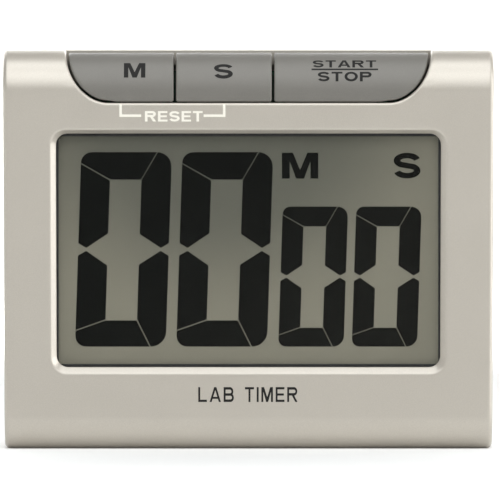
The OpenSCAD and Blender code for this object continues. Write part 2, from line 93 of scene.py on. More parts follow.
# the keys' cut-out, and the keys
m_low, m_high = node_box("key_m")
st_low, st_high = node_box("key_start_stop")
CUT_LOW = 67.6
CUT_R = 10.8  # height of the cut-out's round ends
CUT_BEND = 8.35  # their width
CUT_SPAN = 54.7  # width between their centres
CUT_TOP_Z = CUT_LOW + CUT_R
CUT_RIM = 0.6  # rounding of its rim
ROOF_STEPS = 8
RIM_R = 0.38  # rounding of the keys' rims and the window's
KEY_GAP = 0.45
KEY_FOOT_GAP = 0.2
KEY_BACK_GAP = 1  # from a key's back edge to the parting line
KEY_CORNER = 0.45
KEY_RECESS = 0.25  # how far the keys lie below the case's surface
KEY_DROP = 0.35  # how much further the keys sink on the roof
KEY_SKIN = 1.5
KEY_SKIRT = 2.8  # depth of the wall round a key's edge
KEY_SKIRT_T = 1.1
KEY_SKIRT_EASE = 0.15
HINGE_SPAN = 50.9  # width between the outermost hinge ears
HINGE_DEPTH = 4.0
HINGE_Z = CUT_LOW - 1.6
ARM_FRONT, ARM_LOW, ARM_TOP = 1.5, CUT_LOW + 0.6, CUT_LOW + 2
BAR_R, PIN_R = 1.3, 0.8
BAR_INSET = 2.2  # from a straight key's side to the end of its hinge bar
BAR_END_GAP = 0.45
PIN_LENGTH = 1.2
RIB_HALF_W, RIB_HALF_H = 2.2, 0.6
RIB_FRONT = 1.6
RIB_GAP = 0.05

WELD = 1e-4  # points closer than this are one
SHARP_ANGLE = math.radians(40)


# ---------------------------------------------------------------- meshes
class Shape:
    """Vertices and faces of one piece, in millimetres, gathered row by row."""

    def __init__(self):
        self.points = np.zeros((0, 3))
        self.faces = []

    def add(self, points):
        """Adds a row of points. Returns their numbers."""
        start = len(self.points)
        self.points = np.vstack([self.points, points])
        return np.arange(start, start + len(points))

    def strip(self, a, b, closed=False):
        """Quads between two rows of the same length."""
        if closed:
            a, b = np.append(a, a[0]), np.append(b, b[0])
        self.faces += np.stack([a[:-1], a[1:], b[1:], b[:-1]], 1).tolist()

    def rows(self, rows, closed=False):
        """Adds rows of points and joins each to the next. Returns the first and last row."""
        made = [self.add(r) for r in rows]
        for a, b in zip(made, made[1:]):
            self.strip(a, b, closed)
        return made[0], made[-1]


def linked(name, data, material=None):
    """A Blender object made from its data, put in the scene and given its material."""
    made = bpy.data.objects.new(name, data)
    bpy.context.scene.collection.objects.link(made)
    if material:
        data.materials.append(material)
    return made


def piece(name, shape, body, material):
    """A Blender object from a Shape, in metres, with its normals pointing out, riding on a body."""
    mesh = bpy.data.meshes.new(name)
    mesh.from_pydata((shape.points * MM).tolist(), [], shape.faces)
    work = bmesh.new()
    work.from_mesh(mesh)
    bmesh.ops.remove_doubles(work, verts=work.verts, dist=WELD * MM)
    bmesh.ops.dissolve_degenerate(work, edges=work.edges, dist=WELD * MM)
    bmesh.ops.recalc_face_normals(work, faces=work.faces)
    work.to_mesh(mesh)
    work.free()
    mesh.shade_smooth()
    mesh.set_sharp_from_angle(angle=SHARP_ANGLE)
    made = linked(name, mesh, material)
    even = made.modifiers.new("even_shading", "WEIGHTED_NORMAL")
    even.keep_sharp = True
    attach(made, body)
    return made


def turned(loop):
    """Unit normals of a closed 2D loop, pointing to its left."""
    step = np.roll(loop, -1, 0) - np.roll(loop, 1, 0)
    step /= np.linalg.norm(step, axis=1)[:, None]
    return np.stack([-step[:, 1], step[:, 0]], 1)


def fill(loops, extra, inside, clear):
    """Triangles over a flat domain: the loops' points, then the extra points that lie inside and
    further than clear from every loop. Returns the points and the triangles."""
    loop_points = np.vstack([points for points, _ in loops])
    keep = inside(extra)
    gap = np.full(len(extra), 1e9)
    for i in range(0, len(loop_points), 200):
        away = loop_points[None, i : i + 200] - extra[:, None]
        gap = np.minimum(gap, np.sqrt((away**2).sum(2)).min(1))
    points = np.vstack([loop_points, extra[keep & (gap > clear)]])
    edges, start = [], 0
    for loop, closed in loops:
        n = len(loop)
        edges += [(start + i, start + (i + 1) % n) for i in range(n if closed else n - 1)]
        start += n
    made = delaunay_2d_cdt([Vector(p) for p in points], edges, [], 0, 1e-7)
    origin = np.array([o[0] if o else -1 for o in made[3]])
    triangles = origin[np.array(made[2])]
    triangles = triangles[(triangles >= 0).all(1)]
    return points, triangles[inside(points[triangles].mean(1))]


def ellipse(cx, cy, a, b, start, end, steps=14):
    """Points on an ellipse from one angle to another, in degrees."""
    turn = np.radians(np.linspace(start, end, steps + 1))
    return np.stack([cx + a * np.cos(turn), cy + b * np.sin(turn)], 1)


def arc(centre, radius, start, end, steps):
    """Points on a circle from one angle to another, in degrees."""
    return ellipse(*centre, radius, radius, start, end, steps)


def along(a, b, steps):
    """Points on the straight line from a to b, without its ends."""
    t = np.linspace(0, 1, steps + 1)[1:-1, None]
    return a * (1 - t) + b * t


def rounded_box(low, high, radius, corner_steps=8, side_steps=40):
    """A rectangle with round corners as a closed loop, anticlockwise from the lower left."""
    (x0, z0), (x1, z1) = low, high
    corners = [
        arc((x0 + radius, z0 + radius), radius, 180, 270, corner_steps),
        arc((x1 - radius, z0 + radius), radius, 270, 360, corner_steps),
        arc((x1 - radius, z1 - radius), radius, 0, 90, corner_steps),
        arc((x0 + radius, z1 - radius), radius, 90, 180, corner_steps),
    ]
    loop = []
    for corner, following in zip(corners, corners[1:] + corners[:1]):
        loop += [corner, along(corner[-1], following[0], side_steps)]
    return np.vstack(loop)


def upright(flat, y):
    """Places (x, z) on an upright plane at y."""
    return np.stack([flat[:, 0], np.full(len(flat), y), flat[:, 1]], 1)


def eased(a, corner, b, steps=4):
    """Rows that round a corner: a quadratic curve from a, pulled to the corner, ending at b."""
    t = np.linspace(0, 1, steps + 1)[:, None, None]
    return (1 - t) ** 2 * a + 2 * t * (1 - t) * corner + t**2 * b


# ---------------------------------------------------------------- the case's surface
def side_curve(s, inset):
    """Depth and height on the case's side view, shrunk by an inset. s is the height on the flat
    face; past it, s runs on as arc length over the brow and back along the roof, or under the toe
    and back along the base. Also gives the outward normal as (depth, height)."""
    s, inset = np.broadcast_arrays(np.asarray(s, float), inset)
    over = np.clip((s - BROW_S) / BROW_R, 0, math.pi / 2)
    under = np.clip((TOE_R - s) / TOE_R, 0, math.pi / 2)
    roof = np.maximum(s - BROW_S - BROW_R * math.pi / 2, 0)
    base = np.maximum(TOE_R - TOE_R * math.pi / 2 - s, 0)
    depth = inset + (BROW_R - inset) * (1 - np.cos(over)) + (TOE_R - inset) * (1 - np.cos(under))
    height = np.clip(s, TOE_R, BROW_S)
    height = height + (BROW_R - inset) * np.sin(over) - (TOE_R - inset) * np.sin(under)
    normal = np.stack([-np.cos(over) * np.cos(under), np.sin(over) - np.sin(under)], -1)
    return depth + roof + base, height, normal


def leaned(x, z):
    """Sides lean in towards the base: x shrinks in proportion to the distance below the top."""
    return x * (1 - SIDE_DRAFT / HALF_W * (1 - z / HEIGHT))


def case_skin(flat):
    """Outer surface of the front shell at (x, s), with the long edges rounded to EDGE_R."""
    x, s = flat[:, 0], flat[:, 1]
    past = np.clip(np.abs(x) - (HALF_W - EDGE_R), 0, EDGE_R)
    inset = EDGE_R - np.sqrt(np.maximum(EDGE_R**2 - past**2, 0))
    depth, z, _ = side_curve(s, inset)
    return np.stack([leaned(x, z), FACE_Y + depth, z], 1)


def inner_skin(flat):
    """Inner surface of the front shell at (x, s): WALL behind the outer one, its sides drawn in."""
    x, s = flat[:, 0], flat[:, 1]
    fold = HALF_W - WALL_FOLD
    past = np.maximum(np.abs(x) - fold, 0)
    x = np.sign(x) * (np.minimum(np.abs(x), fold) + past * (WALL_FOLD - WALL) / WALL_FOLD)
    depth, z, _ = side_curve(s, WALL)
    return np.stack([leaned(x, z), FACE_Y + depth, z], 1)


def key_skin(flat, sink=0.0):
    """A key's outer surface at (x, s), or a parallel one that lies deeper by sink. Towards the
    roof it settles lower by up to KEY_DROP."""
    turn = np.clip((flat[:, 1] - BROW_S) / (BROW_R * math.pi / 2), 0, 1)
    depth, z, _ = side_curve(flat[:, 1], KEY_RECESS + sink + KEY_DROP * turn**2)
    return np.stack([leaned(flat[:, 0], z), FACE_Y + depth, z], 1)


def height_to_s(z):
    """The s of a height on the face or the brow."""
    over = np.arcsin(np.clip((z - BROW_S) / BROW_R, 0, 1))
    return np.where(z < BROW_S, z, BROW_S + BROW_R * over)


def roof_s(depth):
    """The s of a place on the flat roof, given its depth."""
    return BROW_S + BROW_R * (math.pi / 2 - 1) + depth


def cut_edge(offset, end_s, steps=36):
    """Left half of the keys' cut-out's edge as (x, s), from the roof down to the flat lower edge: a
    quarter ellipse in the front view, grown by the offset and wrapped onto the case."""
    rise = math.degrees(math.asin((CUT_TOP_Z - HEIGHT) / (CUT_R + offset)))
    bend = ellipse(-CUT_SPAN / 2, CUT_TOP_Z, CUT_BEND + offset, CUT_R + offset,
                   180 + rise, 270, steps)
    bend[:, 1] = height_to_s(np.minimum(bend[:, 1], HEIGHT))
    roof = np.linspace(end_s, bend[0, 1], ROOF_STEPS + 1)[:-1]
    return np.vstack([np.stack([np.full(ROOF_STEPS, bend[0, 0]), roof], 1), bend])


def in_cut(flat, offset):
    """Is a place (x, s) inside the keys' cut-out, grown by the offset?"""
    _, z, _ = side_curve(flat[:, 1], 0.0)
    out = np.maximum(np.abs(flat[:, 0]) - CUT_SPAN / 2, 0) / (CUT_BEND + offset)
    return out**2 + (np.minimum(z - CUT_TOP_Z, 0) / (CUT_R + offset)) ** 2 < 1


def front_shell(material):
    """The front shell: the side view swept across the width with rounded long edges, less the
    window, whose edge is a bevelled rounded rectangle, and less the keys' cut-out."""
    parting = PARTING - SEAM
    s_top, s_low = roof_s(parting), TOE_END - (parting - TOE_R)
    rows = np.unique(np.concatenate([
        [s_low], np.linspace(TOE_END, TOE_R, 17), np.linspace(TOE_R, BROW_S, 24),
        np.linspace(BROW_S, BROW_END, 31), [s_top],
    ]).round(9))
    turn = (HALF_W - EDGE_R) + EDGE_R * np.sin(np.radians(np.linspace(0, 90, 8)))
    cols = np.concatenate([-turn[::-1], np.linspace(-HALF_W + EDGE_R, HALF_W - EDGE_R, 80)[1:-1],
                           turn])
    grid = np.array(np.meshgrid(cols, rows)).reshape(2, -1).T

    def whole_cut(offset):
        """The cut-out's edge from one end to the other, grown by the offset."""
        left = cut_edge(offset, s_top)
        run = np.linspace(-CUT_SPAN / 2, CUT_SPAN / 2, 60)[1:-1]
        flat = np.stack([run, np.full(len(run), CUT_LOW - offset)], 1)
        return np.vstack([left, flat, left[::-1] * [-1, 1]])

    cut_outer, cut_true = whole_cut(CUT_RIM), whole_cut(0.0)
    bevel = rounded_box((-WINDOW_HALF - BEVEL_SIDE, WINDOW_LOW - BEVEL_LOW),
                        (WINDOW_HALF + BEVEL_SIDE, WINDOW_HIGH + BEVEL_TOP), BEVEL_R)
    bevel_rim = bevel - RIM_R * turned(bevel)
    sill = rounded_box((-WINDOW_HALF, WINDOW_LOW), (WINDOW_HALF, WINDOW_HIGH), WINDOW_R)
    seat = sill - LENS_SEAT * turned(sill)

    def inside(flat):
        """Is a place (x, s) on the shell: outside the window and the cut-out?"""
        box_low, box_high = bevel_rim.min(0), bevel_rim.max(0)
        r = BEVEL_R + RIM_R
        off = np.maximum(np.abs(flat - (box_low + box_high) / 2) - (box_high - box_low) / 2 + r, 0)
        return ~((off**2).sum(1) < r * r) & ~in_cut(flat, CUT_RIM)

    points, triangles = fill([(bevel_rim, True), (cut_outer, False)], grid, inside, clear=0.8)
    shape = Shape()
    outer = shape.add(case_skin(points))
    inner = shape.add(inner_skin(points))
    n_window, n_cut = len(bevel_rim), len(cut_outer)
    window_out, window_in = outer[:n_window], inner[:n_window]
    cut_out, cut_in = outer[n_window : n_window + n_cut], inner[n_window : n_window + n_cut]
    shape.faces += outer[triangles].tolist() + inner[triangles[:, ::-1]].tolist()

    # window: rounded rim, bevel, rounded foot, short wall, seat for the pane
    def at_depth(loop, depth):
        """A loop of the front view set back by a depth, leaning in with the sides."""
        return upright(np.stack([leaned(loop[:, 0], loop[:, 1]), loop[:, 1]], 1), FACE_Y + depth)

    top, foot = at_depth(bevel, 0), at_depth(sill, BEVEL_DEPTH)
    slope = (foot - top) * BEVEL_RIM
    rim = eased(shape.points[window_out], top, top + slope)
    toe = eased(foot - slope * BEVEL_FOOT, foot, foot + [0, SILL_EASE, 0], 3)
    wall = [at_depth(sill, LENS_FRONT), at_depth(seat, LENS_FRONT)]
    first, last = shape.rows([*rim[1:], *toe, *wall], True)
    shape.strip(window_out, first, True)
    shape.points[window_in] = at_depth(seat, WALL)
    shape.strip(last, window_in, True)

    # keys' cut-out: rounded rim, then a wall square to the surface
    crest = case_skin(cut_true)
    _, _, normal = side_curve(cut_true[:, 1], 0.0)
    down = np.stack([np.zeros(n_cut), -normal[:, 0], -normal[:, 1]], 1)
    rim = eased(shape.points[cut_out], crest, crest + CUT_RIM * down)
    first, last = shape.rows(rim[1:])
    shape.strip(cut_out, first)
    shape.points[cut_in] = crest + WALL * down
    shape.strip(last, cut_in)
    for end in (0, -1):
        fan = [cut_out[end]] + [first[end] + k * n_cut for k in range(len(rim) - 1)]
        shape.faces.append([*fan, cut_in[end]])

    # sides, from the long edges back to the parting line, and the rim there
    order = {tuple(p): i for i, p in enumerate(points.round(6))}
    for side in (-HALF_W, HALF_W):
        walls = []
        for skin in (outer, inner):
            col = np.array([skin[order[(round(side, 6), round(s, 6))]] for s in rows[1:-1]])
            back = shape.points[col].copy()
            back[:, 1] = FACE_Y + parting
            walls.append(shape.add(back))
            shape.strip(col, walls[-1])
        shape.strip(*walls)
    for s in (s_low, s_top):
        line = np.where(np.abs(points[:, 1] - s) < 1e-6)[0]
        line = line[np.argsort(points[line, 0])]
        for a, b in zip(line, line[1:]):
            if s == s_top and points[a, 0] < 0 < points[b, 0]:
                continue
            shape.faces.append([outer[a], outer[b], inner[b], inner[a]])
    return piece("front_shell", shape, "case", material)


# ---------------------------------------------------------------- keys
def key_outline(x0, x1, round_left, round_right):
    """A key's edge as a closed loop in (x, s), anticlockwise: straight sides with small corners,
    or the cut-out's quarter ellipse less the gap."""
    r = KEY_CORNER
    side_steps, level_steps, corner_steps = 60, 23, 5
    low, high = CUT_LOW + KEY_FOOT_GAP, roof_s(PARTING - KEY_BACK_GAP)
    # the left-hand bend ends just above the flat foot, which starts a little further in
    bend = cut_edge(-KEY_GAP, high - r)
    bend = np.vstack([bend[bend[:, 1] > low + 0.02], [[-CUT_SPAN / 2 + 1.5, low]]])
    if round_left:
        left = bend
    else:
        side = np.linspace(high - r, low + r, side_steps)
        left = np.vstack([np.stack([np.full(side_steps, x0), side], 1),
                          arc((x0 + r, low + r), r, 180, 270, corner_steps)[1:]])
    if round_right:
        right = (bend * [-1, 1])[::-1]
    else:
        side = np.linspace(low + r, high - r, side_steps)
        right = np.vstack([arc((x1 - r, low + r), r, 270, 360, corner_steps)[:-1],
                           np.stack([np.full(side_steps, x1), side], 1)])
    top_right = arc((right[-1, 0] - r, high - r), r, 0, 90, corner_steps)[1:]
    top_left = arc((left[0, 0] + r, high - r), r, 90, 180, corner_steps)[:-1]
    return np.vstack([left, along(left[-1], right[0], level_steps), right, top_right,
                      along(top_right[-1], top_left[0], level_steps), top_left])


def in_loop(loop):
    """A test that says which places are inside a closed loop, by counting crossings."""
    a, b = loop, np.roll(loop, -1, 0)

    def test(flat):
        x, y = flat[:, 0][:, None], flat[:, 1][:, None]
        spans = (a[:, 1] > y) != (b[:, 1] > y)
        rise = np.where(b[:, 1] == a[:, 1], 1.0, b[:, 1] - a[:, 1])
        at = a[:, 0] + (y - a[:, 1]) / rise * (b[:, 0] - a[:, 0])
        return (spans & (x < at)).sum(1) % 2 == 1

    return test


def block(shape, low, high, ease=0.15):
    """A box with small chamfers, as rows of rounded rectangles along the depth."""
    low, high = np.array(low, float), np.array(high, float)
    flat_low, flat_high = low[[0, 2]], high[[0, 2]]
    rings = []
    for inset, y in ((ease, low[1]), (0, low[1] + ease), (0, high[1] - ease), (ease, high[1])):
        rings.append(upright(rounded_box(flat_low + inset, flat_high - inset, ease, 2, 1), y))
    first, last = shape.rows(rings, True)
    shape.faces += [first.tolist(), last[::-1].tolist()]


def rod(shape, x0, x1, y, z, radius, ease=0.12, sides=32):
    """A round bar along X with eased ends: circles of the radius less the easing at each end."""
    a = np.linspace(0, 2 * math.pi, sides, endpoint=False)
    rings = []
    small = radius - ease
    for x, r in ((x0, small), (x0 + ease, radius), (x1 - ease, radius), (x1, small)):
        rings.append(np.stack([np.full(sides, x), y + r * np.cos(a), z + r * np.sin(a)], 1))
    first, last = shape.rows(rings, True)
    shape.faces += [first.tolist(), last[::-1].tolist()]


def key(name, x0, x1, round_left, round_right, plunger, material):
    """A key's cap: its outline filled on the brow's surface, a rounded rim, a skirt square to the
    surface, and an inner surface; with the arm, hinge bar and rib behind it."""
    edge = key_outline(x0, x1, round_left, round_right)
    inward = turned(edge)
    rim_flat = edge + RIM_R * inward
    inner_flat = edge + KEY_SKIRT_T * inward
    pitch = 0.8
    xs = np.arange(x0 - 0.5, x1 + 0.5, pitch)
    ss = np.concatenate([np.arange(CUT_LOW, BROW_S, 0.6), np.linspace(BROW_S, BROW_END, 36),
                         np.arange(roof_s(BROW_R) + 0.5, roof_s(PARTING), pitch)])
    grid = np.array(np.meshgrid(xs, ss)).reshape(2, -1).T
    shape = Shape()
    ends = []
    for loop, sink in ((rim_flat, 0.0), (inner_flat, KEY_SKIN)):
        points, triangles = fill([(loop, True)], grid, in_loop(loop), clear=0.3)
        skin = shape.add(key_skin(points, sink))
        shape.faces += skin[triangles].tolist()
        ends.append(skin[: len(loop)])
    crest = key_skin(edge)
    _, _, normal = side_curve(edge[:, 1], 0.0)
    down = np.stack([np.zeros(len(edge)), -normal[:, 0], -normal[:, 1]], 1)
    rim = eased(shape.points[ends[0]], crest, crest + RIM_R * down)
    skirt = [crest + (KEY_SKIRT - KEY_SKIRT_EASE) * down,
             key_skin(edge + KEY_SKIRT_EASE * inward, KEY_SKIRT), key_skin(inner_flat, KEY_SKIRT)]
    first, last = shape.rows([*rim[1:], *skirt], True)
    shape.strip(ends[0], first, True)
    shape.strip(last, ends[1], True)

    # the arm behind the cap, the hinge bar with a pin at each end, and the rib over the plunger
    bar0 = -HINGE_SPAN / 2 + BAR_END_GAP if round_left else x0 + BAR_INSET
    bar1 = HINGE_SPAN / 2 - BAR_END_GAP if round_right else x1 - BAR_INSET
    bar_y = FACE_Y + HINGE_DEPTH
    arm_corner = (bar1, bar_y - 0.5, ARM_TOP)
    block(shape, (bar0, FACE_Y + ARM_FRONT, ARM_LOW), arm_corner)
    block(shape, (bar0, FACE_Y + WALL + 0.3, HINGE_Z), arm_corner)
    rod(shape, bar0, bar1, bar_y, HINGE_Z, BAR_R)
    rod(shape, bar0 - PIN_LENGTH, bar1 + PIN_LENGTH, bar_y, HINGE_Z, PIN_R)
    tip_low, tip_high = node_box(plunger)
    x, _, z = (tip_low + tip_high) / 2
    block(shape, (x - RIB_HALF_W, FACE_Y + RIB_FRONT, z - RIB_HALF_H),
          (x + RIB_HALF_W, tip_low[1] - RIB_GAP, z + RIB_HALF_H))
    made = piece(name + "_cap", shape, name, material)
    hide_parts(name)
    return made


# ---------------------------------------------------------------- print and display marks
# widths of the plain capitals, as shares of their height; I is as wide as its stroke
LETTER_W = {"M": 1.02, "S": 0.86, "T": 0.80, "A": 1.0, "R": 0.92, "O": 0.98, "P": 0.86, "E": 0.78,
            "L": 0.76, "I": 0.0, "B": 0.9, " ": 0.5}
SLICE = 0.3  # how often a legend is cut so that it can bend over the brow
INK_PROUD = 0.012  # how far print stands off its surface
INK_PROUD_DISPLAY = 0.01
DISPLAY_LIFT = 0.015  # how far the display's marks float in front of its film


def ribbon(path, t):
    """A stroke of thickness t along a path, as one polygon per step with mitred joints."""
    path = np.array(path, float)
    closed = np.allclose(path[0], path[-1])
    step = np.diff(path, axis=0)
    step /= np.linalg.norm(step, axis=1)[:, None]
    before, after = np.vstack([step[:1], step]), np.vstack([step, step[-1:]])
    if closed:
        before[0], after[-1] = step[-1], step[0]
    mean = before + after
    mean /= (mean**2).sum(1)[:, None] / 2
    side = np.stack([-mean[:, 1], mean[:, 0]], 1) * t / 2
    left, right = path + side, path - side
    return [np.array([left[i], right[i], right[i + 1], left[i + 1]]) for i in range(len(step))]


def slab(x0, x1, y0, y1):
    """A rectangle as a list of one polygon."""
    return [np.array([[x0, y0], [x1, y0], [x1, y1], [x0, y1]], float)]


def bowl(w, top, height, t):
    """The round part of P, R and B: out from the stem, half round, and back."""
    r = (height - t) / 2
    bend = ellipse(w - r - t / 2, top - t / 2 - r, r, r, 90, -90)
    return ribbon([[t / 2, top - t / 2], *bend, [t / 2, top - height + t / 2]], t)


def letter(name, t):
    """Polygons of a plain bold capital with stroke t, one unit high, its lower left at 0, 0."""
    w = LETTER_W[name] or t
    stem = slab(0, t, 0, 1)
    if name == "I":
        return stem
    if name == "L":
        return stem + slab(0, w, 0, t * 0.9)
    if name == "E":
        bars = slab(0, w, 0, t * 0.9) + slab(0, w, 1 - t * 0.9, 1)
        return stem + bars + slab(0, w * 0.93, 0.5 - t * 0.42, 0.5 + t * 0.45)
    if name == "T":
        return slab(0, w, 1 - t * 0.9, 1) + slab(w / 2 - t / 2, w / 2 + t / 2, 0, 1)
    if name == "O":
        return ribbon(ellipse(w / 2, 0.5, (w - t) / 2, (1 - t) / 2, 0, 360, 32), t)
    if name == "M":
        left = np.array([[0, 1], [1.4 * t, 1], [w / 2, 0.33], [w / 2, 0], [w / 2 - 0.5 * t, 0],
                         [t * 0.9, 0.74], [0, 0.74]])
        return stem + slab(w - t, w, 0, 1) + [left, (left * [-1, 1] + [w, 0])[::-1]]
    if name == "A":
        left = np.array([[0, 0], [1.08 * t, 0], [w / 2, 0.8], [w / 2, 1], [w / 2 - 0.58 * t, 1]])
        crossbar = slab(w * 0.2, w * 0.8, 0.21, 0.21 + t * 0.8)
        return [left, (left * [-1, 1] + [w, 0])[::-1]] + crossbar
    if name == "S":
        a, b = (w - t) / 2, (1 - t) / 4
        upper = ellipse(w / 2, 1 - t / 2 - b, a, b, 12, 232, 16)
        lower = ellipse(w / 2, t / 2 + b, a, b, 52, -168, 16)
        return ribbon(np.vstack([upper, lower]), t * 0.96)
    if name == "B":
        return stem + bowl(w * 0.95, 1, 0.5 + t / 2, t) + bowl(w, 0.5 + t / 2, 0.5 + t / 2, t)
    if name == "P":
        return stem + bowl(w, 1, 0.6, t)
    if name == "R":
        foot = np.array([[w * 0.42, 0.48], [w * 0.42 + 1.15 * t, 0.48], [w, 0], [w - 1.2 * t, 0]])
        return stem + bowl(w * 0.97, 1, 0.57, t) + [foot]
    return []


def lettering(word, width, cap_height, weight=0.21, space=0.15):
    """A word in plain capitals as flat triangles, in millimetres, its lower left at the origin.
    Overlapping strokes are merged into one sheet."""
    points, polygons, at = [], [], 0.0
    for name in word:
        for polygon in letter(name, weight):
            nxt = np.roll(polygon, -1, 0)
            area = (polygon[:, 0] * nxt[:, 1] - polygon[:, 1] * nxt[:, 0]).sum()
            polygons.append(list(range(len(points), len(points) + len(polygon))))
            points += (polygon[:: 1 if area > 0 else -1] + [at, 0]).tolist()
        at += (LETTER_W[name] or weight) + space
    made = delaunay_2d_cdt([Vector(p) for p in points], [], polygons, 0, 1e-6)
    flat = np.array([tuple(p) for p in made[0]])
    faces = [tuple(face) for face, source in zip(made[2], made[5]) if source]
    return flat * [width / (at - space), cap_height], faces


def sliced(flat, faces, step):
    """Cuts flat faces along level lines a step apart, so that they can bend over the brow."""
    work = bmesh.new()
    verts = [work.verts.new((p[0], p[1], 0)) for p in flat]
    for face in faces:
        work.faces.new([verts[i] for i in face])
    bmesh.ops.remove_doubles(work, verts=work.verts, dist=1e-4)
    for level in np.arange(flat[:, 1].min() + step, flat[:, 1].max(), step):
        geometry = work.verts[:] + work.edges[:] + work.faces[:]
        bmesh.ops.bisect_plane(work, geom=geometry, plane_co=(0, level, 0), plane_no=(0, 1, 0))
    work.verts.index_update()
    flat = np.array([v.co[:2] for v in work.verts])
    faces = [tuple(v.index for v in f.verts) for f in work.faces]
    work.free()
    return flat, faces


def bar(x0, x1, y0, y1):
    """A rectangle as a mark: its points and its one face."""
    return slab(x0, x1, y0, y1)[0], [(0, 1, 2, 3)]


def printed(name, marks, surface, body, material, proud=INK_PROUD):
    """Flat marks laid on a surface as a film of ink, given as (points, faces) in the surface's
    own flat coordinates."""
    points, faces = [], []
    for flat, some in marks:
        start = sum(len(p) for p in points)
        points.append(flat)
        faces += [tuple(start + i for i in f) for f in some]
    mesh = bpy.data.meshes.new(name)
    mesh.from_pydata((surface(np.vstack(points)) * MM).tolist(), [], faces)
    made = linked(name, mesh, material)
    facing = sum(p.normal.y * p.area for p in mesh.polygons)
    if facing > 0:
        mesh.flip_normals()
    film = made.modifiers.new("ink", "SOLIDIFY")
    film.thickness = 2 * proud * MM
    film.offset = 0
    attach(made, body)


# a large nought of the display
DIGIT_W, DIGIT_H = 17.73, 38.0
UPRIGHT_BAR, LEVEL_BAR = 5.78, 5.2
LEAN = 0.032  # sideways for each millimetre up
SEGMENT_GAP = 0.2
LEFT_CORNER, RIGHT_CORNER = 2.1, 2.9
LEFT_SLIT_TOP, LEFT_SLIT_LOW = 2.2, 3.15  # where the slits between segments meet the outline
RIGHT_SLIT_TOP, RIGHT_SLIT_LOW = 2.85, 3.05
POINT = 1.6  # how far in the upright bars' points are


def digit_zero(left, base, scale):
    """The six lit segments of a nought. Each is a polygon in a frame that leans to the right;
    the upright bars end in off-centre points at half height, and the corners are cut across."""
    w, h, b, c, p = DIGIT_W, DIGIT_H, UPRIGHT_BAR, LEVEL_BAR, POINT
    mid = h / 2
    g = SEGMENT_GAP / 2
    soft, wide = LEFT_CORNER, RIGHT_CORNER
    slit_left_top, slit_left_low = h - LEFT_SLIT_TOP, LEFT_SLIT_LOW
    slit_right_top, slit_right_low = w - RIGHT_SLIT_TOP, w - RIGHT_SLIT_LOW
    shapes = [
        # top bar with the upper left corner
        [(0, slit_left_top + g), *arc((soft, h - soft), soft, 180, 90, 6)[1:],
         (slit_right_top - g, h), (w - b - g, h - c - 0.15), (b + 0.1, h - c - 0.15)],
        # upper right bar with its corner
        [(slit_right_top + g, h), *arc((w - wide, h - wide), wide, 90, 0, 7)[1:],
         (w, mid + 1.25), (w - p, mid + 0.3), (w - b, mid + 3.0), (w - b, h - c - 0.25)],
        # lower right bar with its corner
        [(w, mid - 1.25), *arc((w - wide, wide), wide, 0, -90, 7), (slit_right_low + g, 0),
         (w - b, c + 0.1), (w - b, mid - 3.0), (w - p, mid - 0.3)],
        # bottom bar with the lower left corner
        [(slit_right_low - g, 0), *arc((soft, soft), soft, 270, 180, 6), (0, slit_left_low - g),
         (b, c - g), (w - b - g, c - g)],
        # lower left bar
        [(0, slit_left_low + g), (b, c + g), (b, mid - 3.15), (p, mid - 0.3), (0, mid - 1.2)],
        # upper left bar
        [(0, mid + 1.2), (p, mid + 0.3), (b, mid + 3.15), (b, h - c - 0.25 - g),
         (0, slit_left_top - g)],
    ]
    marks = []
    for outline in shapes:
        flat = np.array(outline, float) * scale
        flat[:, 0] += left + flat[:, 1] * LEAN
        flat[:, 1] += base
        marks.append((flat, [tuple(range(len(flat)))]))
    return marks


def on_display(flat):
    """Just in front of the display's film."""
    return upright(flat, DISPLAY_Y - DISPLAY_LIFT)


def on_face(flat):
    """On the flat face of the case."""
    return upright(flat, FACE_Y)


def placed(mark, x, y):
    """A mark moved by x and y."""
    flat, faces = mark
    return flat + [x, y], faces


def legend(word, width, x, low, high):
    """A word on the brow, given the heights of its feet and its tops."""
    foot, top = height_to_s(np.array([low, high]))
    return placed(sliced(*lettering(word, width, top - foot), SLICE), x, foot)


# ---------------------------------------------------------------- materials
class Signal:
    """A shader socket that takes part in sums written as Python expressions."""

    def __init__(self, finish, socket):
        self.finish, self.socket = finish, socket

    def _sum(self, operation, a, b):
        return self.finish.node("ShaderNodeMath", {"operation": operation}, {0: a, 1: b})

    def __add__(self, other):
        return self._sum("ADD", self, other)

    def __sub__(self, other):
        return self._sum("SUBTRACT", self, other)

    def __rsub__(self, other):
        return self._sum("SUBTRACT", other, self)

    def __mul__(self, other):
        return self._sum("MULTIPLY", self, other)

    def __truediv__(self, other):
        return self._sum("DIVIDE", self, other)

    def __pow__(self, other):
        return self._sum("POWER", self, other)

    __radd__ = __add__
    __rmul__ = __mul__


